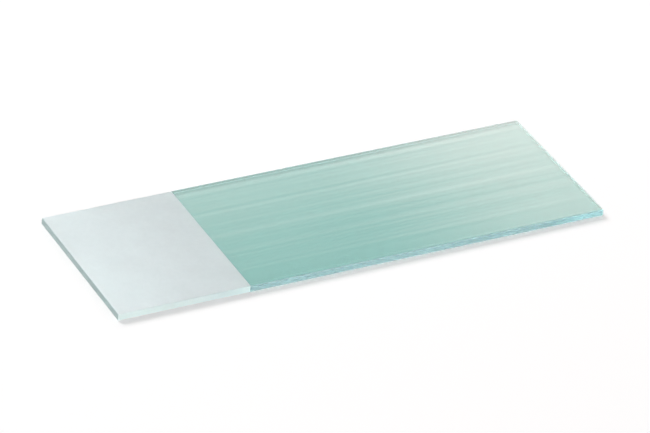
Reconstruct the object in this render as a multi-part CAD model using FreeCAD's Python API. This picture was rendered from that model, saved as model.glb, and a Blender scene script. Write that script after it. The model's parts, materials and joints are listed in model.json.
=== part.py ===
"""Microscope slide: one flat plate of clear soda-lime glass, cut from sheet, with one frosted end.

The plate is a single piece, so it is one solid in one node. The sheet is frosted in bands by
etching, scored on its upper face and snapped into plates, which gives the plate its form:

- both large faces are flat, polished and parallel;
- the frosted end is a band of the upper face, etched a few hundredths of a millimetre deep
  across the full width, where the slide is written on;
- the four edges are cut and not ground: square to the faces and sharp at the lower face, with
  half of the score groove left as a tiny bevel round the upper face.

Frame: +X along the slide from the frosted end to the plain end, +Y across it, +Z up. The origin
is at the middle of the lower face, which is the face it rests on. Millimetres.
"""

import FreeCAD
import Part
import os

# Driving dimensions
LENGTH = 76.0
WIDTH = 26.0
THICKNESS = 1.0
FROSTED_LENGTH = 20.0  # from the end of the slide, across its full width
FROST_DEPTH = 0.02  # how deep the etching goes below the polished face
SCORE_BEVEL = 0.05  # width and height of the half groove that scoring leaves

# The etching tool stands out past the plate by this much, so that it cuts right through the sides
TOOL_OVERRUN = 1.0

# Edges whose ends both lie this near to the upper face belong to it
ON_FACE = 1e-6


def cut_plate():
    """The plate as it is snapped from the sheet: square, flat and sharp all round."""
    corner = FreeCAD.Vector(-LENGTH / 2, -WIDTH / 2, 0)
    return Part.makeBox(LENGTH, WIDTH, THICKNESS, corner)


def upper_edges(plate):
    """The edges round the upper face."""
    return [
        edge
        for edge in plate.Edges
        if all(abs(corner.Z - THICKNESS) < ON_FACE for corner in edge.Vertexes)
    ]


def with_score_bevel(plate):
    """The plate with half of the score groove along each edge of its upper face."""
    return plate.makeChamfer(SCORE_BEVEL, upper_edges(plate))


def etched_band():
    """What the etching takes away: a thin band of the upper face, over its end and both sides."""
    floor_of_band = THICKNESS - FROST_DEPTH
    corner = FreeCAD.Vector(
        -LENGTH / 2 - TOOL_OVERRUN,
        -WIDTH / 2 - TOOL_OVERRUN,
        floor_of_band,
    )
    return Part.makeBox(
        FROSTED_LENGTH + TOOL_OVERRUN,
        WIDTH + 2 * TOOL_OVERRUN,
        FROST_DEPTH + TOOL_OVERRUN,
        corner,
    )


def glass_slide():
    """The whole slide."""
    return with_score_bevel(cut_plate()).cut(etched_band())


def write_node(name, shape):
    """Writes one sub-part as parts/NAME.step and prints what it measures."""
    if not shape.isValid() or len(shape.Solids) != 1:
        raise ValueError(f"{name} is not one valid solid")
    solid = shape.Solids[0]
    solid.exportStep(os.path.join("parts", name + ".step"))
    box = solid.BoundBox
    print(
        f"{name}: {box.XLength:.3f} x {box.YLength:.3f} x {box.ZLength:.3f} mm,"
        f" {solid.Volume:.2f} mm3, {len(solid.Faces)} faces"
    )


os.makedirs("parts", exist_ok=True)
write_node("glass_slide", glass_slide())
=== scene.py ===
"""Looks of a glass microscope slide: clear polished glass, cut edges and one frosted end.

The file is laid out as an add-on and is run as a script. The slide is a plate that a Geometry
Nodes tree cuts, chips and etches by rule, and its finish is procedural. Metres throughout, in the
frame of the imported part.
"""

import json
import math

import bpy
from bpy.props import FloatProperty, FloatVectorProperty, IntProperty, PointerProperty
from mathutils import Matrix, Vector


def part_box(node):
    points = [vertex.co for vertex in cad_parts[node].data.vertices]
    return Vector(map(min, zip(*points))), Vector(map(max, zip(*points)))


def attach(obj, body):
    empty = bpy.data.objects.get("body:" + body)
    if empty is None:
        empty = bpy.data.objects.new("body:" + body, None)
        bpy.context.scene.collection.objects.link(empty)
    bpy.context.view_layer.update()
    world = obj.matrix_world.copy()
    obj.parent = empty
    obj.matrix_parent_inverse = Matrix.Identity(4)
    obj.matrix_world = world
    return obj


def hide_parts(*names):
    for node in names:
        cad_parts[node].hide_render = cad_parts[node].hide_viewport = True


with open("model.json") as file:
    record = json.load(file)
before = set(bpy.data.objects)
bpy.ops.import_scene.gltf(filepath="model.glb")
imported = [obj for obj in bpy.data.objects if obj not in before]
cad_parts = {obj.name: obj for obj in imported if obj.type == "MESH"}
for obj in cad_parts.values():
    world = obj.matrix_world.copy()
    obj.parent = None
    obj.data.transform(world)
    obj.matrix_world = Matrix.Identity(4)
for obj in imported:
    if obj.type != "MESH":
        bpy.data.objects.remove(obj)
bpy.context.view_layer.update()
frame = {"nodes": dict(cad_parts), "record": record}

bl_info = {
    "name": "Microscope slide",
    "version": (1, 0, 0),
    "blender": (4, 5, 0),
    "location": "3D View > Sidebar > Slide",
    "description": "Makes a glass microscope slide with a frosted end, and a studio to see it in",
    "category": "Add Mesh",
}

NODE = "glass_slide"
MM = 0.001
UM = 1e-6


# ---------------------------------------------------------------- sizes read from the frame


def mount_place(name):
    """Where the record puts one of the part's mounts."""
    for mount in frame["record"]["mounts"]:
        if mount["name"] == name:
            return Vector(mount["pos_m"])
    raise ValueError(f"the record has no mount named {name}")


def packed_sizes():
    """The slide's own sizes: its box, the etched band and the bevel that scoring leaves."""
    low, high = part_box(NODE)
    size = high - low
    band = mount_place("frosted_face")
    corners = [vertex.co for vertex in frame["nodes"][NODE].data.vertices]
    top = [corner for corner in corners if high.z - corner.z < UM]
    return {
        "length": size.x,
        "width": size.y,
        "thickness": size.z,
        "frosted_length": 2 * (band.x - low.x),
        "frost_depth": high.z - band.z,
        "score_bevel": high.x - max(corner.x for corner in top),
    }


PACKED = packed_sizes()


# ---------------------------------------------------------------- what a user may change


class SlideSizes(bpy.types.PropertyGroup):
    """How coarse the cut edges and the frosted band's border are."""

    column_pitch: FloatProperty(
        name="Edge detail",
        description="Distance between the mesh columns round the cut edges",
        default=0.1 * MM,
        min=0.05 * MM,
        precision=5,
        unit="LENGTH",
        subtype="DISTANCE",
    )
    cut_wander: FloatProperty(
        name="Cut wander",
        description="How far a snapped edge strays from its straight line",
        default=0.012 * MM,
        precision=6,
        unit="LENGTH",
        subtype="DISTANCE",
    )
    rib_height: FloatProperty(
        name="Rib height",
        description="Height of the fine ribs that snapping leaves under the score line",
        default=0.012 * MM,
        precision=6,
        unit="LENGTH",
        subtype="DISTANCE",
    )
    chip_depth: FloatProperty(
        name="Chip depth",
        description="Depth of the largest chips along the score line",
        default=0.16 * MM,
        precision=5,
        unit="LENGTH",
        subtype="DISTANCE",
    )
    border_wander: FloatProperty(
        name="Border wander",
        description="How far the frosted band's border strays from its straight line",
        default=0.22 * MM,
        precision=5,
        unit="LENGTH",
        subtype="DISTANCE",
    )
    seed: IntProperty(
        name="Seed",
        description="Picks another pattern of chips and ribs",
        default=7,
        min=0,
    )


class SlideColours(bpy.types.PropertyGroup):
    """Colours of the glass and of its frosted end."""

    glass: FloatVectorProperty(
        name="Glass",
        description="Tint that light takes at each pass through the plate",
        subtype="COLOR",
        size=3,
        min=0.0,
        max=1.0,
        default=(0.385, 0.66, 0.62),
    )
    cut_glass: FloatVectorProperty(
        name="Cut edge",
        description="Tint of the glass seen through its cut edges",
        subtype="COLOR",
        size=3,
        min=0.0,
        max=1.0,
        default=(0.565, 0.70, 0.76),
    )
    etched_glass: FloatVectorProperty(
        name="Etched end",
        description="Tint of the clear glass under the frosted band",
        subtype="COLOR",
        size=3,
        min=0.0,
        max=1.0,
        default=(0.99, 1.0, 1.0),
    )
    matt_edge: FloatVectorProperty(
        name="Matt edge",
        description="Tint of the cut edges round the frosted end",
        subtype="COLOR",
        size=3,
        min=0.0,
        max=1.0,
        default=(0.78, 0.985, 0.965),
    )
    depth_colour: FloatVectorProperty(
        name="Depth colour",
        description="Colour that a long way through the glass leaves",
        subtype="COLOR",
        size=3,
        min=0.0,
        max=1.0,
        default=(0.28, 0.62, 0.60),
    )
    depth_density: FloatProperty(
        name="Depth density",
        description="How fast the glass takes on its depth colour, for each metre",
        default=35.0,
        min=0.0,
    )
    frost: FloatVectorProperty(
        name="Frost",
        description="Colour of the etched matt band",
        subtype="COLOR",
        size=3,
        min=0.0,
        max=1.0,
        default=(0.865, 0.915, 0.92),
    )
    floor: FloatVectorProperty(
        name="Floor",
        description="Colour of the floor",
        subtype="COLOR",
        size=3,
        min=0.0,
        max=1.0,
        default=(0.80, 0.80, 0.80),
    )


class SlideView(bpy.types.PropertyGroup):
    """Where the camera stands."""

    azimuth: FloatProperty(
        name="Azimuth",
        description="Turn of the camera round the slide",
        default=math.radians(-29.0),
        unit="ROTATION",
        subtype="ANGLE",
    )
    elevation: FloatProperty(
        name="Elevation",
        description="Height of the camera above the horizon",
        default=math.radians(32.4),
        unit="ROTATION",
        subtype="ANGLE",
    )
    roll: FloatProperty(
        name="Roll",
        description="Turn of the camera about its line of sight",
        default=math.radians(4.6),
        unit="ROTATION",
        subtype="ANGLE",
    )
    distance: FloatProperty(
        name="Distance",
        description="From the camera to the middle of the slide",
        default=0.65,
        unit="LENGTH",
        subtype="DISTANCE",
    )
    filled: FloatProperty(
        name="Filled width",
        description="Share of the picture's width that the slide fills",
        default=0.86,
        min=0.1,
        max=1.0,
        subtype="FACTOR",
    )


# ---------------------------------------------------------------- node helpers

# A Mix node has sockets of one name for each kind of value: these are the ones for colours
MIX_FACTOR, MIX_FIRST, MIX_SECOND = 0, 6, 7
MIX_RESULT = 2


def add_node(tree, kind, inputs=None, **settings):
    """Adds a node with its settings, and links or fills its inputs by name or number."""
    node = tree.nodes.new(kind)
    for key, value in settings.items():
        setattr(node, key, value)
    for key, value in (inputs or {}).items():
        connect(tree, value, node.inputs[key])
    return node


def connect(tree, value, socket):
    """Links a socket to an input, or writes a plain value into it."""
    if isinstance(value, bpy.types.NodeSocket):
        tree.links.new(value, socket)
    else:
        socket.default_value = value


def calc(tree, operation, *values, clamp=False):
    """One Math node. Gives its output."""
    node = add_node(tree, "ShaderNodeMath", operation=operation, use_clamp=clamp)
    for socket, value in zip(node.inputs, values):
        connect(tree, value, socket)
    return node.outputs[0]


def vector_calc(tree, operation, *values):
    """One Vector Math node. Gives its vector output."""
    node = add_node(tree, "ShaderNodeVectorMath", operation=operation)
    for socket, value in zip(node.inputs, values):
        connect(tree, value, socket)
    return node.outputs["Vector"]


def vector(tree, x, y, z):
    """A vector from three numbers or sockets."""
    return add_node(tree, "ShaderNodeCombineXYZ", {0: x, 1: y, 2: z}).outputs[0]


def ramp(tree, value, start, end, low=0.0, high=1.0, smooth=True):
    """Goes from low to high as value goes from start to end, and stays there outside them."""
    node = add_node(
        tree,
        "ShaderNodeMapRange",
        {"Value": value, "From Min": start, "From Max": end, "To Min": low, "To Max": high},
        interpolation_type="SMOOTHSTEP" if smooth else "LINEAR",
    )
    return node.outputs["Result"]


def noise(tree, place, scale, detail=2.0, roughness=0.5):
    """Noise from 0 to 1 at a place, with features about 1 / scale wide."""
    node = add_node(
        tree,
        "ShaderNodeTexNoise",
        {"Vector": place, "Scale": scale, "Detail": detail, "Roughness": roughness},
        noise_dimensions="3D",
    )
    return node.outputs[0]


def seeded_noise(tree, place, scale, seed, detail=2.0):
    """Noise from 0 to 1 at a place, with another pattern for each seed."""
    node = add_node(
        tree,
        "ShaderNodeTexNoise",
        {"Vector": place, "W": seed, "Scale": scale, "Detail": detail},
        noise_dimensions="4D",
    )
    return node.outputs[0]


def mixed(tree, factor, first, second):
    """The first colour where the factor is 0 and the second where it is 1."""
    given = {MIX_FACTOR: factor, MIX_FIRST: first, MIX_SECOND: second}
    return add_node(tree, "ShaderNodeMix", given, data_type="RGBA").outputs[MIX_RESULT]


def socket_id(tree, name):
    """The identifier of a tree's named input."""
    for item in tree.interface.items_tree:
        if item.item_type == "SOCKET" and item.in_out == "INPUT" and item.name == name:
            return item.identifier
    raise ValueError(f"{tree.name} has no input named {name}")


# ---------------------------------------------------------------- the plate's Geometry Nodes tree

TREE_INPUTS = (
    ("Length", "NodeSocketFloat"),
    ("Width", "NodeSocketFloat"),
    ("Thickness", "NodeSocketFloat"),
    ("Frosted Length", "NodeSocketFloat"),
    ("Frost Depth", "NodeSocketFloat"),
    ("Score Bevel", "NodeSocketFloat"),
    ("Column Pitch", "NodeSocketFloat"),
    ("Cut Wander", "NodeSocketFloat"),
    ("Rib Height", "NodeSocketFloat"),
    ("Chip Depth", "NodeSocketFloat"),
    ("Border Wander", "NodeSocketFloat"),
    ("Seed", "NodeSocketInt"),
    ("Glass", "NodeSocketMaterial"),
    ("Frost", "NodeSocketMaterial"),
    ("Matt Edge", "NodeSocketMaterial"),
)

# ---- the shape of the cut edges

# Where the rows of the cut edge lie, as shares of the wall under the score bevel
WALL_ROWS = (0.05, 0.28, 0.52, 0.74, 0.88, 1.0)
# Chips may bite this far into the two large faces
FACE_RING = 0.25 * MM
# How many waves of wander, ribs, chips and groups of chips there are for each millimetre
WANDER_WAVES = 0.12
RIB_WAVES = 3.2
CHIP_WAVES = 1.4
CHIP_GROUP_WAVES = 0.13
# Ribs and chips run down the edge, so they have fewer waves along Z than along X and Y
DOWN_THE_EDGE = (1.0, 1.0, 0.2)
# The noise at which a chip starts and is whole, and at which a group of chips does
CHIP_NOISE = (0.56, 0.78)
CHIP_GROUP_NOISE = (0.5, 0.66)
# Chips outside the groups are this deep beside those inside them
LONE_CHIP = 0.06
# The heights at which ribs start and are full, and at which chips do, as shares of the thickness
RIB_RISE = (0.5, 0.9)
CHIP_RISE = (0.78, 1.0)
# Where the crushed glass under the score line starts and is full, going up, and where it begins to
# fade and ends, as shares of the thickness
CRUSH_RISE = (0.8, 0.94)
CRUSH_FALL = (0.96, 0.99)
# How far a chip drags the crushed glass down, beside the chip's own depth
CHIP_DRAG = 0.7

# ---- the shape of the frosted band

# The etching tool stands out past the plate by this much
TOOL_OVERRUN = 1.0 * MM
# The matt skin stays this far off the clear glass under and beside it
SKIN_GAP = 2 * UM
# Distance between the points of the frosted band's border
BORDER_PITCH = 0.15 * MM
# How many long and short waves of the border there are for each millimetre
BORDER_LONG_WAVES = 0.09
BORDER_SHORT_WAVES = 1.1
# How far the short waves stray beside the long ones
BORDER_SHORT_SHARE = 0.35
# Noise swings about this value
NOISE_MIDDLE = 0.5

# ---- how the mesh is put together

# Vertices nearer than this are one
WELD = 0.1 * UM
# A cut leaves no edge shorter than this
SLIVER = 1 * UM
# Faces that turn by more than this meet at a sharp edge
SHARP_TURN = math.radians(28)
# An upright face turns up or down by 0 and a level one by 1. The cut edges do so by less than this,
WALL_FACING = 0.9
# and level faces by more than this
LEVEL_FACING = 0.99999


def outline_face(tree, sizes):
    """The plate's outline as one face with a vertex every column pitch."""
    outline = add_node(
        tree,
        "GeometryNodeCurvePrimitiveQuadrilateral",
        {"Width": sizes["Length"], "Height": sizes["Width"]},
        mode="RECTANGLE",
    ).outputs[0]
    index = add_node(tree, "GeometryNodeInputIndex").outputs[0]
    across = calc(tree, "MODULO", index, 2.0)
    side = add_node(
        tree,
        "GeometryNodeSwitch",
        {"Switch": across, "False": sizes["Length"], "True": sizes["Width"]},
        input_type="FLOAT",
    ).outputs[0]
    cuts = calc(tree, "ROUND", calc(tree, "DIVIDE", side, sizes["Column Pitch"]))
    columns = add_node(
        tree, "GeometryNodeSubdivideCurve", {"Curve": outline, "Cuts": cuts}
    ).outputs[0]
    return add_node(tree, "GeometryNodeFillCurve", {"Curve": columns}, mode="NGONS").outputs[0]


def inset_scale(tree, sizes, inset):
    """Scales the outline so that each side moves in by the inset."""
    both_sides = calc(tree, "MULTIPLY", inset, 2.0)
    along, across = (
        calc(tree, "SUBTRACT", 1.0, calc(tree, "DIVIDE", both_sides, sizes[size]))
        for size in ("Length", "Width")
    )
    return vector(tree, along, across, 1.0)


def add_row(tree, mesh, top, outline, height, scale):
    """Extrudes the top face and sets its new place: the outline's own points, scaled and raised."""
    extruded = add_node(
        tree,
        "GeometryNodeExtrudeMesh",
        {"Mesh": mesh, "Selection": top, "Offset Scale": 0.0, "Individual": False},
        mode="FACES",
    )
    grown, new_top = extruded.outputs["Mesh"], extruded.outputs["Top"]
    scaled = vector_calc(tree, "MULTIPLY", outline, scale)
    place = vector_calc(tree, "ADD", scaled, vector(tree, 0.0, 0.0, height))
    moved = add_node(
        tree,
        "GeometryNodeSetPosition",
        {"Geometry": grown, "Selection": new_top, "Position": place},
    )
    return moved.outputs[0], new_top


def cut_plate(tree, sizes):
    """The plate as it is snapped from the sheet, row by row from its lower face to its upper."""
    stored = add_node(tree, "GeometryNodeCaptureAttribute", {"Geometry": outline_face(tree, sizes)})
    stored.capture_items.new("VECTOR", "outline")
    position = add_node(tree, "GeometryNodeInputPosition").outputs[0]
    tree.links.new(position, stored.inputs["outline"])
    outline = stored.outputs["outline"]
    full_scale = (1.0, 1.0, 1.0)
    bevel_scale = inset_scale(tree, sizes, sizes["Score Bevel"])
    ring_scale = inset_scale(tree, sizes, FACE_RING)
    ring = vector_calc(tree, "MULTIPLY", outline, ring_scale)
    start = add_node(
        tree, "GeometryNodeSetPosition", {"Geometry": stored.outputs[0], "Position": ring}
    ).outputs[0]
    lower_face = add_node(tree, "GeometryNodeFlipFaces", {0: start}).outputs[0]
    wall = calc(tree, "SUBTRACT", sizes["Thickness"], sizes["Score Bevel"])
    rows = [(0.0, full_scale)]
    rows += [(calc(tree, "MULTIPLY", wall, share), full_scale) for share in WALL_ROWS]
    rows += [(sizes["Thickness"], bevel_scale), (sizes["Thickness"], ring_scale)]
    mesh, top = start, True
    for height, scale in rows:
        mesh, top = add_row(tree, mesh, top, outline, height, scale)
    both = add_node(tree, "GeometryNodeJoinGeometry")
    tree.links.new(mesh, both.inputs[0])
    tree.links.new(lower_face, both.inputs[0])
    return add_node(
        tree, "GeometryNodeMergeByDistance", {"Geometry": both.outputs[0], "Distance": WELD}
    ).outputs[0]


def beside_cut(tree, place, size):
    """1 for the points at the two cut edges across this axis and 0 for the rest."""
    start = calc(tree, "MULTIPLY_ADD", size, 0.5, -FACE_RING / 2)
    return calc(tree, "GREATER_THAN", calc(tree, "ABSOLUTE", place), start)


def chip_depth(tree, place, down_place, sizes):
    """How deep the chips along the score line are: most of them lie in groups."""
    seed = sizes["Seed"]
    chip = ramp(tree, seeded_noise(tree, down_place, CHIP_WAVES, seed), *CHIP_NOISE)
    grouped = seeded_noise(tree, place, CHIP_GROUP_WAVES, seed)
    group = ramp(tree, grouped, *CHIP_GROUP_NOISE, low=LONE_CHIP)
    return calc(tree, "MULTIPLY", calc(tree, "MULTIPLY", chip, group), sizes["Chip Depth"])


def wear_cut_edges(tree, plate, sizes):
    """Snapping leaves the cut edges wavy, ribbed under the score line and chipped along it."""
    position = add_node(tree, "GeometryNodeInputPosition").outputs[0]
    x, y, z = add_node(tree, "ShaderNodeSeparateXYZ", {0: position}).outputs
    on_end = beside_cut(tree, x, sizes["Length"])
    on_side = beside_cut(tree, y, sizes["Width"])
    out_x = calc(tree, "MULTIPLY", on_end, calc(tree, "SIGN", x))
    out_y = calc(tree, "MULTIPLY", on_side, calc(tree, "SIGN", y))
    outward = vector_calc(tree, "NORMALIZE", vector(tree, out_x, out_y, 0.0))
    height = calc(tree, "DIVIDE", z, sizes["Thickness"])
    place = vector_calc(tree, "DIVIDE", position, (MM, MM, MM))
    down_place = vector_calc(tree, "MULTIPLY", place, DOWN_THE_EDGE)
    wave = seeded_noise(tree, place, WANDER_WAVES, sizes["Seed"], detail=3.0)
    wander = calc(tree, "MULTIPLY", wave, sizes["Cut Wander"])
    rib = seeded_noise(tree, down_place, RIB_WAVES, sizes["Seed"])
    rib = calc(tree, "MULTIPLY", rib, sizes["Rib Height"])
    ribs = calc(tree, "MULTIPLY", rib, ramp(tree, height, *RIB_RISE))
    depth = chip_depth(tree, place, down_place, sizes)
    chips = ramp(tree, height, *CHIP_RISE)
    inward = calc(tree, "MULTIPLY_ADD", depth, chips, calc(tree, "ADD", wander, ribs))
    push = calc(tree, "MULTIPLY", inward, -1.0)
    sideways = vector_calc(tree, "MULTIPLY", outward, vector(tree, push, push, push))
    crush = ramp(tree, height, *CRUSH_RISE)
    crush = calc(tree, "MULTIPLY", crush, ramp(tree, height, *CRUSH_FALL, low=1.0, high=0.0))
    down = calc(tree, "MULTIPLY", calc(tree, "MULTIPLY", depth, crush), CHIP_DRAG)
    offset = vector_calc(tree, "SUBTRACT", sideways, vector(tree, 0.0, 0.0, down))
    on_cut = calc(tree, "MAXIMUM", on_end, on_side)
    return add_node(
        tree, "GeometryNodeSetPosition", {"Geometry": plate, "Selection": on_cut, "Offset": offset}
    ).outputs[0]


def facing(tree):
    """How much a face turns up or down: 0 for an upright one and 1 for a level one."""
    normal = add_node(tree, "GeometryNodeInputNormal").outputs[0]
    return calc(tree, "ABSOLUTE", add_node(tree, "ShaderNodeSeparateXYZ", {0: normal}).outputs["Z"])


def in_triangles(tree, plate):
    """Splits every face that isn't level, because the wear bends it and a cut needs flat faces."""
    worn = calc(tree, "LESS_THAN", facing(tree), LEVEL_FACING)
    return add_node(tree, "GeometryNodeTriangulate", {"Mesh": plate, "Selection": worn}).outputs[0]


def border_stray(tree, y, sizes):
    """How far the frosted band's border is off its line: long waves with short ones on them."""
    along = vector(tree, 0.0, calc(tree, "DIVIDE", y, MM), 0.0)
    long_waves = seeded_noise(tree, along, BORDER_LONG_WAVES, sizes["Seed"], detail=1.0)
    short_waves = seeded_noise(tree, along, BORDER_SHORT_WAVES, sizes["Seed"])
    long_stray = calc(tree, "SUBTRACT", long_waves, NOISE_MIDDLE)
    short_stray = calc(tree, "SUBTRACT", short_waves, NOISE_MIDDLE)
    stray = calc(tree, "MULTIPLY_ADD", short_stray, BORDER_SHORT_SHARE, long_stray)
    return calc(tree, "MULTIPLY", stray, sizes["Border Wander"])


def etching_tool(tree, sizes, gap):
    """A block over the frosted end, with a border that strays a little. The gap sets it back."""
    reach = calc(tree, "ADD", sizes["Frosted Length"], TOOL_OVERRUN - gap)
    width = calc(tree, "ADD", sizes["Width"], 2 * TOOL_OVERRUN)
    height = calc(tree, "ADD", sizes["Frost Depth"], TOOL_OVERRUN)
    rows = calc(tree, "DIVIDE", width, BORDER_PITCH)
    block = add_node(
        tree,
        "GeometryNodeMeshCube",
        {"Size": vector(tree, reach, width, height), "Vertices Y": rows},
    ).outputs[0]
    position = add_node(tree, "GeometryNodeInputPosition").outputs[0]
    x, y, _z = add_node(tree, "ShaderNodeSeparateXYZ", {0: position}).outputs
    strayed = add_node(
        tree,
        "GeometryNodeSetPosition",
        {
            "Geometry": block,
            "Selection": calc(tree, "GREATER_THAN", x, 0.0),
            "Offset": vector(tree, border_stray(tree, y, sizes), 0.0, 0.0),
        },
    ).outputs[0]
    left = calc(tree, "MULTIPLY_ADD", sizes["Length"], -0.5, -TOOL_OVERRUN)
    floor = calc(tree, "SUBTRACT", calc(tree, "ADD", sizes["Thickness"], gap), sizes["Frost Depth"])
    middle_x = calc(tree, "MULTIPLY_ADD", reach, 0.5, left)
    middle_z = calc(tree, "MULTIPLY_ADD", height, 0.5, floor)
    return add_node(
        tree,
        "GeometryNodeTransform",
        {"Geometry": strayed, "Translation": vector(tree, middle_x, 0.0, middle_z)},
    ).outputs[0]


def combine(tree, operation, first, second):
    """The difference or the intersection of two closed meshes."""
    node = add_node(tree, "GeometryNodeMeshBoolean", operation=operation, solver="EXACT")
    # Only a difference has a first mesh: the others take all theirs in the second socket
    first_socket = "Mesh 1" if operation == "DIFFERENCE" else "Mesh 2"
    tree.links.new(first, node.inputs[first_socket])
    tree.links.new(second, node.inputs["Mesh 2"])
    return add_node(
        tree, "GeometryNodeMergeByDistance", {"Geometry": node.outputs[0], "Distance": SLIVER}
    ).outputs[0]


def of_material(tree, mesh, material, faces=True):
    """The chosen faces of a mesh, or all of them, in one material."""
    return add_node(
        tree, "GeometryNodeSetMaterial", {0: mesh, "Selection": faces, "Material": material}
    ).outputs[0]


def end_walls(tree, sizes):
    """The plate's cut edges that run round the frosted end, which the etching dulls too."""
    plate = add_node(tree, "GeometryNodeMaterialSelection", {"Material": sizes["Glass"]}).outputs[0]
    upright = calc(tree, "LESS_THAN", facing(tree), WALL_FACING)
    position = add_node(tree, "GeometryNodeInputPosition").outputs[0]
    x = add_node(tree, "ShaderNodeSeparateXYZ", {0: position}).outputs["X"]
    border = calc(tree, "MULTIPLY_ADD", sizes["Length"], -0.5, sizes["Frosted Length"])
    beside_band = calc(tree, "MULTIPLY", upright, calc(tree, "LESS_THAN", x, border))
    return calc(tree, "MULTIPLY", plate, beside_band)


def finished(tree, mesh, material):
    """Sharp where the faces turn, smooth elsewhere, and of one material."""
    smooth = add_node(
        tree, "GeometryNodeSetShadeSmooth", {0: mesh, "Shade Smooth": True}, domain="FACE"
    ).outputs[0]
    turn = add_node(tree, "GeometryNodeInputMeshEdgeAngle").outputs["Unsigned Angle"]
    sharp = add_node(
        tree,
        "GeometryNodeSetShadeSmooth",
        {
            0: smooth,
            "Selection": calc(tree, "GREATER_THAN", turn, SHARP_TURN),
            "Shade Smooth": False,
        },
        domain="EDGE",
    ).outputs[0]
    return of_material(tree, sharp, material)


def build_slide_tree():
    """The tree that makes the whole slide from its named inputs."""
    tree = bpy.data.node_groups.new("Microscope slide", "GeometryNodeTree")
    tree.is_modifier = True
    for name, kind in TREE_INPUTS:
        tree.interface.new_socket(name, in_out="INPUT", socket_type=kind)
    tree.interface.new_socket("Geometry", in_out="OUTPUT", socket_type="NodeSocketGeometry")
    sizes = add_node(tree, "NodeGroupInput").outputs
    glass, frost = sizes["Glass"], sizes["Frost"]
    worn = in_triangles(tree, wear_cut_edges(tree, cut_plate(tree, sizes), sizes))
    plate = of_material(tree, worn, glass)
    etched = of_material(tree, etching_tool(tree, sizes, gap=0.0), frost)
    skin = of_material(tree, etching_tool(tree, sizes, gap=SKIN_GAP), frost)
    clear = combine(tree, "DIFFERENCE", plate, etched)
    matt = combine(tree, "INTERSECT", plate, skin)
    whole = add_node(tree, "GeometryNodeJoinGeometry")
    tree.links.new(finished(tree, clear, glass), whole.inputs[0])
    tree.links.new(finished(tree, matt, frost), whole.inputs[0])
    real = add_node(tree, "GeometryNodeRealizeInstances", {0: whole.outputs[0]}).outputs[0]
    slide = of_material(tree, real, sizes["Matt Edge"], end_walls(tree, sizes))
    add_node(tree, "NodeGroupOutput", {0: slide})
    return tree


# ---------------------------------------------------------------- materials

GLASS_IOR = 1.52
# Polished glass turns up or down by more than this, and cut glass by less
POLISHED_FACING = 0.95
# The height that a bump of 1 stands for
BUMP_DEPTH = 0.01 * MM
# Strength of the bumps in the clear glass, in the etched skin and in the hazed edge round it
GLASS_BUMP = 0.6
FROST_BUMP = 0.5
MATT_EDGE_BUMP = 0.15
# Drawing the sheet leaves faint long streaks: their waves for each millimetre along X, Y and Z
DRAW_STRETCH = (0.003, 0.36, 0.0)
# and their depth, as a bump's height
DRAW_DEPTH = 3.6
# Waves of the faint haze on the polished faces for each millimetre, the noise at which it starts
# and is full, and the roughness that it comes to
HAZE_WAVES = 0.12
HAZE_NOISE = (0.35, 0.75)
HAZE_ROUGHNESS = 0.03
# Roughness of the snapped edge
CUT_ROUGHNESS = 0.04
# What the crushed glass under the score line adds to it
CRUSH_ROUGHNESS = 0.3
# Roughness of the clear glass under the etched skin, of the skin and of the hazed edge round it,
# each from its smoothest to its roughest
BAND_ROUGHNESS = (0.14, 0.28)
FROST_ROUGHNESS = (0.75, 0.95)
MATT_EDGE_ROUGHNESS = (0.28, 0.38)
# The fine grain at which the clear glass is smoothest and roughest, and at which the skin is
BAND_GRAIN = (0.2, 0.8)
FROST_GRAIN = (0.25, 0.75)
# The pale tint of the frosted end stops this far inside the band's border
BORDER_INSET = 0.2 * MM
# Shares of the light that the skin and the hazed edge let through rather than scatter back
FROST_LETS_THROUGH = 0.8
MATT_EDGE_LETS_THROUGH = 1.0
# How far the shade of the etched skin, and of the hazed edge round it, strays from its colour
FROST_SHADING = 0.08
MATT_EDGE_SHADING = 0.015
# The share of that which is a plain paling from the band's border towards the end of the slide
END_PALING = 0.6
# Pits, wide clouds and blotches of the etching for each millimetre
PITS = 9.0
CLOUDS = 0.25
MOTTLE = 1.6
# What the pits and the fine grain each add to the etching's height
GRAIN_HEIGHT = 0.6
# Weight of the blotches beside the wide clouds, and the noise at which the two are darkest and
# palest, as a share of their weights
MOTTLE_SHARE = 0.7
MOTTLE_NOISE = (0.3, 0.7)


def group_tree(name, inputs, outputs):
    """An empty shader node group with named sockets, and its input and output nodes."""
    group = bpy.data.node_groups.new(name, "ShaderNodeTree")
    for label, kind, value in inputs:
        socket = group.interface.new_socket(label, in_out="INPUT", socket_type=kind)
        if value is not None:
            socket.default_value = value
    for label, kind in outputs:
        group.interface.new_socket(label, in_out="OUTPUT", socket_type=kind)
    return group, add_node(group, "NodeGroupInput"), add_node(group, "NodeGroupOutput")


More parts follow.
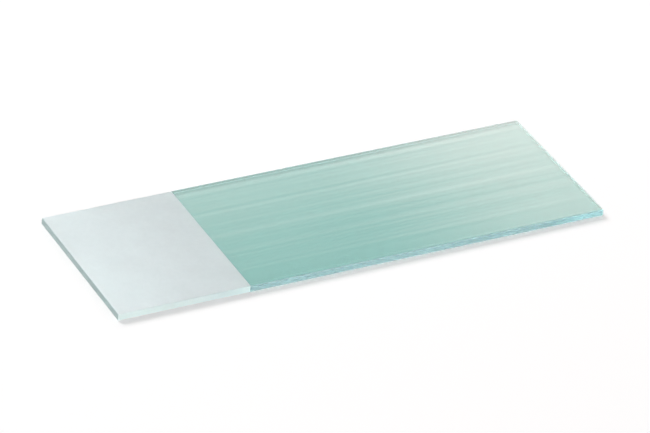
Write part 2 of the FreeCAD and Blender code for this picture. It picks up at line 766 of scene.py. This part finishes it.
def build_etch_grain():
    """Etched glass: fine even pits over faint wide clouds, for the glass, its skin and its edge."""
    group, given, put = group_tree(
        "Etch grain",
        [
            ("Place", "NodeSocketVector", None),
            ("Pits", "NodeSocketFloat", PITS),
            ("Clouds", "NodeSocketFloat", CLOUDS),
        ],
        [("Height", "NodeSocketFloat"), ("Cloud", "NodeSocketFloat"), ("Fine", "NodeSocketFloat")],
    )
    place = given.outputs["Place"]
    pits = add_node(
        group,
        "ShaderNodeTexVoronoi",
        {"Vector": place, "Scale": given.outputs["Pits"], "Randomness": 1.0},
        feature="SMOOTH_F1",
    ).outputs["Distance"]
    fine = noise(group, place, given.outputs["Pits"], detail=3.0, roughness=0.7)
    cloud = noise(group, place, given.outputs["Clouds"], detail=4.0, roughness=0.55)
    fine_height = calc(group, "MULTIPLY", fine, GRAIN_HEIGHT)
    height = calc(group, "MULTIPLY_ADD", pits, GRAIN_HEIGHT, fine_height)
    connect(group, height, put.inputs["Height"])
    connect(group, cloud, put.inputs["Cloud"])
    connect(group, fine, put.inputs["Fine"])
    return group


def place_in_mm(tree):
    """Object coordinates in millimetres."""
    place = add_node(tree, "ShaderNodeTexCoord").outputs["Object"]
    return vector_calc(tree, "DIVIDE", place, (MM, MM, MM))


def facing_up(tree):
    """How much a face turns upwards, from -1 to 1."""
    normal = add_node(tree, "ShaderNodeNewGeometry").outputs["True Normal"]
    return add_node(tree, "ShaderNodeSeparateXYZ", {0: normal}).outputs["Z"]


def new_material(name):
    """A node material with a Principled BSDF linked to its output."""
    material = bpy.data.materials.new(name)
    material.use_nodes = True
    tree = material.node_tree
    tree.nodes.clear()
    shader = add_node(tree, "ShaderNodeBsdfPrincipled")
    output = add_node(tree, "ShaderNodeOutputMaterial", {"Surface": shader.outputs[0]})
    return material, tree, shader, output


def bumped(tree, shader, height, strength):
    """Gives a shader's surface this relief."""
    bump = add_node(
        tree, "ShaderNodeBump", {"Strength": strength, "Distance": BUMP_DEPTH, "Height": height}
    )
    connect(tree, bump.outputs[0], shader.inputs["Normal"])


def as_glass(shader, lets_through):
    """Sets a shader to glass that lets this share of the light through."""
    shader.inputs["Metallic"].default_value = 0.0
    shader.inputs["IOR"].default_value = GLASS_IOR
    shader.inputs["Transmission Weight"].default_value = lets_through


def etched_floor(tree, z):
    """1 on the floor of the etched band and 0 elsewhere."""
    halfway = (PACKED["thickness"] - PACKED["frost_depth"] / 2) / MM
    level = calc(tree, "GREATER_THAN", facing_up(tree), WALL_FACING)
    return calc(tree, "MULTIPLY", level, calc(tree, "LESS_THAN", z, halfway))


def glass_tint(tree, colours, x, cut):
    """One tint for the polished faces, one for the cut edges and one for the frosted end."""
    border = (PACKED["frosted_length"] - PACKED["length"] / 2 - BORDER_INSET) / MM
    frosted_end = calc(tree, "LESS_THAN", x, border)
    tint = mixed(tree, cut, (*colours.glass, 1.0), (*colours.cut_glass, 1.0))
    return mixed(tree, frosted_end, tint, (*colours.etched_glass, 1.0))


def glass_roughness(tree, place, z, cut, band, fine):
    """Hazed a little on the polished faces, crushed under the score line and matt in the band."""
    wash = noise(tree, place, HAZE_WAVES, detail=4.0, roughness=0.6)
    haze = ramp(tree, wash, *HAZE_NOISE, high=HAZE_ROUGHNESS)
    thickness = PACKED["thickness"] / MM
    crush_start, crush_full = (share * thickness for share in CRUSH_RISE)
    crushed = calc(tree, "MULTIPLY", cut, ramp(tree, z, crush_start, crush_full))
    snapped = calc(tree, "MULTIPLY", cut, CUT_ROUGHNESS)
    edge = calc(tree, "MULTIPLY_ADD", crushed, CRUSH_ROUGHNESS, snapped)
    smoothest, roughest = BAND_ROUGHNESS
    grained = ramp(tree, fine, *BAND_GRAIN, low=smoothest, high=roughest)
    matt = calc(tree, "MULTIPLY", band, grained)
    return calc(tree, "ADD", calc(tree, "ADD", haze, edge), matt, clamp=True)


def glass_material(colours, grain):
    """Clear soda-lime glass: polished faces, glossy cut edges and a rough etched band."""
    material, tree, shader, output = new_material("Slide glass")
    as_glass(shader, lets_through=1.0)
    depth = add_node(
        tree,
        "ShaderNodeVolumeAbsorption",
        {"Color": (*colours.depth_colour, 1.0), "Density": colours.depth_density},
    )
    tree.links.new(depth.outputs[0], output.inputs["Volume"])
    place = place_in_mm(tree)
    x, _y, z = add_node(tree, "ShaderNodeSeparateXYZ", {0: place}).outputs
    cut = calc(tree, "LESS_THAN", calc(tree, "ABSOLUTE", facing_up(tree)), POLISHED_FACING)
    band = etched_floor(tree, z)
    etch = add_node(tree, "ShaderNodeGroup", {"Place": place}, node_tree=grain)
    connect(tree, glass_tint(tree, colours, x, cut), shader.inputs["Base Color"])
    rough = glass_roughness(tree, place, z, cut, band, etch.outputs["Fine"])
    connect(tree, rough, shader.inputs["Roughness"])
    pits = calc(tree, "MULTIPLY", band, etch.outputs["Height"])
    streaks = noise(tree, vector_calc(tree, "MULTIPLY", place, DRAW_STRETCH), 1.0)
    drawn = calc(tree, "MULTIPLY", calc(tree, "SUBTRACT", 1.0, cut), DRAW_DEPTH)
    bumped(tree, shader, calc(tree, "MULTIPLY_ADD", streaks, drawn, pits), GLASS_BUMP)
    return material


def shaded(tree, colour, pale, shading):
    """A colour that is a little darker where pale is 0 and a little lighter where it is 1."""
    base = Vector(colour)
    return mixed(tree, pale, (*(base * (1 - shading)), 1.0), (*(base * (1 + shading)), 1.0))


def paleness(tree, place, cloud):
    """From 0 to 1: blotches and clouds, over a plain paling that grows towards the slide's end."""
    mottle = noise(tree, place, MOTTLE, detail=3.0, roughness=0.6)
    blotches = calc(tree, "MULTIPLY_ADD", mottle, MOTTLE_SHARE, cloud)
    darkest, palest = (value * (1 + MOTTLE_SHARE) for value in MOTTLE_NOISE)
    clouded = ramp(tree, blotches, darkest, palest)
    x = add_node(tree, "ShaderNodeSeparateXYZ", {0: place}).outputs["X"]
    end = -PACKED["length"] / 2 / MM
    border = end + PACKED["frosted_length"] / MM
    # A plain paling, from the band's border to the slide's end
    towards_end = ramp(tree, x, border, end, high=END_PALING)
    return calc(tree, "MULTIPLY_ADD", clouded, 1 - END_PALING, towards_end)


def etched_material(name, grain, colour, shading, lets_through, roughness, bump_strength):
    """Blotched and pitted glass, without depth of its own, that scatters the light it passes."""
    material, tree, shader, _output = new_material(name)
    as_glass(shader, lets_through)
    place = place_in_mm(tree)
    etch = add_node(tree, "ShaderNodeGroup", {"Place": place}, node_tree=grain)
    pale = paleness(tree, place, etch.outputs["Cloud"])
    connect(tree, shaded(tree, colour, pale, shading), shader.inputs["Base Color"])
    smoothest, roughest = roughness
    rough = ramp(tree, etch.outputs["Fine"], *FROST_GRAIN, low=smoothest, high=roughest)
    connect(tree, rough, shader.inputs["Roughness"])
    bumped(tree, shader, etch.outputs["Height"], bump_strength)
    return material


def frost_material(colours, grain):
    """The matt skin of the etched band: it scatters light back and lets some of it through."""
    return etched_material(
        "Etched frost",
        grain,
        colours.frost,
        FROST_SHADING,
        FROST_LETS_THROUGH,
        FROST_ROUGHNESS,
        FROST_BUMP,
    )


def matt_edge_material(colours, grain):
    """The cut edge round the frosted end, which the etching has only hazed."""
    return etched_material(
        "Matt cut edge",
        grain,
        colours.matt_edge,
        MATT_EDGE_SHADING,
        MATT_EDGE_LETS_THROUGH,
        MATT_EDGE_ROUGHNESS,
        MATT_EDGE_BUMP,
    )


# ---------------------------------------------------------------- the slide


def realised(name, tree, values):
    """Runs a tree with these input values and gives its result as a plain mesh object."""
    carrier = bpy.data.objects.new(name, bpy.data.meshes.new(name))
    bpy.context.scene.collection.objects.link(carrier)
    modifier = carrier.modifiers.new(name, "NODES")
    modifier.node_group = tree
    for key, value in values.items():
        modifier[socket_id(tree, key)] = value
    ready = carrier.evaluated_get(bpy.context.evaluated_depsgraph_get())
    mesh = bpy.data.meshes.new_from_object(ready)
    carrier.modifiers.remove(modifier)
    carrier.data = mesh
    mesh.name = name
    # The tree leaves an empty material slot, which no face uses
    for index in reversed(range(len(mesh.materials))):
        if mesh.materials[index] is None:
            mesh.materials.pop(index=index)
    return carrier


def slide_values(sizes, glass, frost, matt_edge):
    """The tree's inputs by name."""
    return {
        "Length": PACKED["length"],
        "Width": PACKED["width"],
        "Thickness": PACKED["thickness"],
        "Frosted Length": PACKED["frosted_length"],
        "Frost Depth": PACKED["frost_depth"],
        "Score Bevel": PACKED["score_bevel"],
        "Column Pitch": sizes.column_pitch,
        "Cut Wander": sizes.cut_wander,
        "Rib Height": sizes.rib_height,
        "Chip Depth": sizes.chip_depth,
        "Border Wander": sizes.border_wander,
        "Seed": sizes.seed,
        "Glass": glass,
        "Frost": frost,
        "Matt Edge": matt_edge,
    }


class SLIDE_OT_glass_slide(bpy.types.Operator):
    """Makes the glass slide: the clear plate and the matt skin of its frosted end"""

    bl_idname = "slide.glass_slide"
    bl_label = "Glass slide"
    bl_options = {"REGISTER", "UNDO"}

    def execute(self, context):
        scene = context.scene
        grain = build_etch_grain()
        glass = glass_material(scene.slide_colours, grain)
        frost = frost_material(scene.slide_colours, grain)
        matt_edge = matt_edge_material(scene.slide_colours, grain)
        tree = build_slide_tree()
        values = slide_values(scene.slide_sizes, glass, frost, matt_edge)
        slide = realised("frosted_end_slide", tree, values)
        if not slide.data.polygons:
            raise RuntimeError("the slide's tree gave no faces")
        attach(slide, "root")
        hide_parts(NODE)
        return {"FINISHED"}


# ---------------------------------------------------------------- the stage

WHITE = (1.0, 1.0, 1.0, 1.0)
FLOOR_RADIUS = 3.0
FLOOR_SIDES = 64
FLOOR_ROUGHNESS = 0.9
# The floor lies this far under the slide, so that the two don't share a plane
FLOOR_GAP = 0.05 * MM
# What the floor adds to its own colour to be white, near the slide and where the lamps don't reach,
# and how far from the slide the one goes over into the other
FLOOR_LIFT = 0.275
FAR_FLOOR_LIFT = 0.72
LIT_FLOOR = (0.06, 0.6)
# Strength of the world's light on the slide and the floor
WORLD_LIGHT = 0.38
# Name, azimuth, elevation, distance, size and power of each lamp
LAMPS = (
    ("key", -165.0, 38.0, 1.6, 0.62, 17.2),
    ("fill", -40.0, 62.0, 1.5, 0.9, 2.9),
)
# A soft box behind the slide that its polished face mirrors: azimuth, elevation, distance, size
SHEEN = (151.2, 29.0, 0.8, 0.34)
SHEEN_WATTS = 0.92
# It is a little warm
SHEEN_COLOUR = (1.0, 0.66, 0.64)
# Its light grows towards one side and towards its foot, askew because the slide lies askew to it.
# This is how much each way leans on the other, and where the light starts and is full, as shares of
# the box's size.
SHEEN_SIDE_LEAN = 1.1
SHEEN_SIDE = (1.2, 0.925)
SHEEN_FOOT_LEAN = -0.295
SHEEN_FOOT = (0.535, 0.4225)
# How strong the light at its foot is beside that at its side
SHEEN_FOOT_SHARE = 0.75
# Enough for light to cross the plate from edge to edge inside it
LIGHT_BOUNCES = 32
# The camera shows nothing nearer than this
NEAREST_VIEW = 0.01


def middle_of_slide():
    """The middle of the slide, from the frame."""
    low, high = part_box(NODE)
    return (low + high) / 2


def direction(azimuth, elevation):
    """From the slide towards a camera or lamp at this azimuth and elevation."""
    return Vector(
        (
            math.sin(azimuth) * math.cos(elevation),
            -math.cos(azimuth) * math.cos(elevation),
            math.sin(elevation),
        )
    )


def looking_at_slide(azimuth, elevation, distance):
    """The place and turn of a camera or lamp that looks at the middle of the slide."""
    back = direction(azimuth, elevation)
    turn = back.to_track_quat("Z", "Y").to_matrix().to_4x4()
    return Matrix.Translation(middle_of_slide() + back * distance) @ turn


def seen_by_viewer(tree):
    """1 for rays that show the background: from the camera, or by way of glass or gloss."""
    path = add_node(tree, "ShaderNodeLightPath")
    seen = calc(tree, "MAXIMUM", path.outputs["Is Camera Ray"], path.outputs["Is Glossy Ray"])
    return calc(tree, "MAXIMUM", seen, path.outputs["Is Transmission Ray"])


def floor_material(colours):
    """Matt pale floor, with light of its own towards the viewer that takes it to white."""
    material, tree, shader, _output = new_material("Studio floor")
    shader.inputs["Base Color"].default_value = (*colours.floor, 1.0)
    shader.inputs["Roughness"].default_value = FLOOR_ROUGHNESS
    shader.inputs["Specular IOR Level"].default_value = 0.0
    shader.inputs["Emission Color"].default_value = WHITE
    place = add_node(tree, "ShaderNodeTexCoord").outputs["Object"]
    away = add_node(tree, "ShaderNodeVectorMath", {0: place}, operation="LENGTH").outputs["Value"]
    lift = ramp(tree, away, *LIT_FLOOR, low=FLOOR_LIFT, high=FAR_FLOOR_LIFT)
    glow = calc(tree, "MULTIPLY", seen_by_viewer(tree), lift)
    connect(tree, glow, shader.inputs["Emission Strength"])
    return material


def make_floor(colours):
    """A round floor just under the slide."""
    mesh = bpy.data.meshes.new("floor")
    floor = bpy.data.objects.new("floor", mesh)
    level = middle_of_slide().z - PACKED["thickness"] / 2 - FLOOR_GAP
    turns = [2 * math.pi * side / FLOOR_SIDES for side in range(FLOOR_SIDES)]
    ring = [(FLOOR_RADIUS * math.cos(turn), FLOOR_RADIUS * math.sin(turn)) for turn in turns]
    points = [(x, y, level) for x, y in ring]
    mesh.from_pydata(points, [], [tuple(range(FLOOR_SIDES))])
    mesh.materials.append(floor_material(colours))
    bpy.context.scene.collection.objects.link(floor)


def make_lamp(name, azimuth, elevation, distance, size, watts):
    """A square soft lamp that looks at the slide."""
    lamp = bpy.data.lights.new(name, "AREA")
    lamp.shape = "SQUARE"
    lamp.size = size
    lamp.energy = watts
    holder = bpy.data.objects.new(name, lamp)
    holder.matrix_world = looking_at_slide(math.radians(azimuth), math.radians(elevation), distance)
    bpy.context.scene.collection.objects.link(holder)


def make_sheen():
    """A soft box that is bright at one side and at its foot, for the polished face to mirror."""
    make_lamp("sheen", *SHEEN, SHEEN_WATTS)
    lamp = bpy.data.lights["sheen"]
    lamp.color = SHEEN_COLOUR
    lamp.use_nodes = True
    tree = lamp.node_tree
    tree.nodes.clear()
    place = add_node(tree, "ShaderNodeNewGeometry").outputs["Parametric"]
    across, up, _depth = add_node(tree, "ShaderNodeSeparateXYZ", {0: place}).outputs
    side = ramp(tree, calc(tree, "MULTIPLY_ADD", up, SHEEN_SIDE_LEAN, across), *SHEEN_SIDE)
    low = calc(tree, "MULTIPLY_ADD", across, SHEEN_FOOT_LEAN, up)
    foot = ramp(tree, low, *SHEEN_FOOT, high=SHEEN_FOOT_SHARE, smooth=False)
    glow = add_node(tree, "ShaderNodeEmission", {"Strength": calc(tree, "ADD", side, foot)})
    add_node(tree, "ShaderNodeOutputLight", {"Surface": glow.outputs[0]})


def make_world():
    """White round the slide to the viewer, and soft plain light on it."""
    world = bpy.data.worlds.new("Studio")
    world.use_nodes = True
    tree = world.node_tree
    tree.nodes.clear()
    strength = ramp(tree, seen_by_viewer(tree), 0.0, 1.0, low=WORLD_LIGHT, high=1.0, smooth=False)
    sky = add_node(tree, "ShaderNodeBackground", {"Color": WHITE, "Strength": strength})
    add_node(tree, "ShaderNodeOutputWorld", {"Surface": sky.outputs[0]})
    bpy.context.scene.world = world


def make_camera(view):
    """The camera, with the lens that lets the slide fill its share of the picture."""
    data = bpy.data.cameras.new("camera")
    camera = bpy.data.objects.new("camera", data)
    roll = Matrix.Rotation(view.roll, 4, "Z")
    camera.matrix_world = looking_at_slide(view.azimuth, view.elevation, view.distance) @ roll
    span = PACKED["length"] * math.cos(view.azimuth) + PACKED["width"] * abs(math.sin(view.azimuth))
    data.lens = data.sensor_width * view.filled * view.distance / span
    data.clip_start, data.clip_end = NEAREST_VIEW, 2 * FLOOR_RADIUS
    bpy.context.scene.collection.objects.link(camera)
    bpy.context.scene.camera = camera


class SLIDE_OT_stage(bpy.types.Operator):
    """Makes the floor, the lamps, the white world and the camera"""

    bl_idname = "slide.stage"
    bl_label = "Stage"
    bl_options = {"REGISTER", "UNDO"}

    def execute(self, context):
        scene = context.scene
        make_floor(scene.slide_colours)
        for lamp in LAMPS:
            make_lamp(*lamp)
        make_sheen()
        make_world()
        make_camera(scene.slide_view)
        scene.view_settings.view_transform = "Standard"
        scene.cycles.max_bounces = LIGHT_BOUNCES
        scene.cycles.glossy_bounces = LIGHT_BOUNCES
        scene.cycles.transmission_bounces = LIGHT_BOUNCES
        return {"FINISHED"}


class SLIDE_PT_panel(bpy.types.Panel):
    """Lists the slide's sizes, colours and steps"""

    bl_idname = "SLIDE_PT_panel"
    bl_label = "Microscope slide"
    bl_space_type = "VIEW_3D"
    bl_region_type = "UI"
    bl_category = "Slide"

    def draw(self, context):
        for label, group in (
            ("Sizes", context.scene.slide_sizes),
            ("Colours", context.scene.slide_colours),
            ("View", context.scene.slide_view),
        ):
            box = self.layout.box()
            box.label(text=label)
            for key in group.bl_rna.properties.keys():
                if key not in ("rna_type", "name"):
                    box.prop(group, key)
        for step in STEPS:
            self.layout.operator(step.bl_idname)


STEPS = (SLIDE_OT_glass_slide, SLIDE_OT_stage)
CLASSES = (SlideSizes, SlideColours, SlideView, *STEPS, SLIDE_PT_panel)


def register():
    """Adds the classes and the scene's settings."""
    for entry in CLASSES:
        bpy.utils.register_class(entry)
    bpy.types.Scene.slide_sizes = PointerProperty(type=SlideSizes)
    bpy.types.Scene.slide_colours = PointerProperty(type=SlideColours)
    bpy.types.Scene.slide_view = PointerProperty(type=SlideView)


def unregister():
    """Takes the classes and the scene's settings away."""
    del bpy.types.Scene.slide_view
    del bpy.types.Scene.slide_colours
    del bpy.types.Scene.slide_sizes
    for entry in reversed(CLASSES):
        bpy.utils.unregister_class(entry)


def main():
    """Registers the classes and makes the slide and its stage."""
    register()
    bpy.ops.slide.glass_slide()
    bpy.ops.slide.stage()


if __name__ == "__main__":
    main()
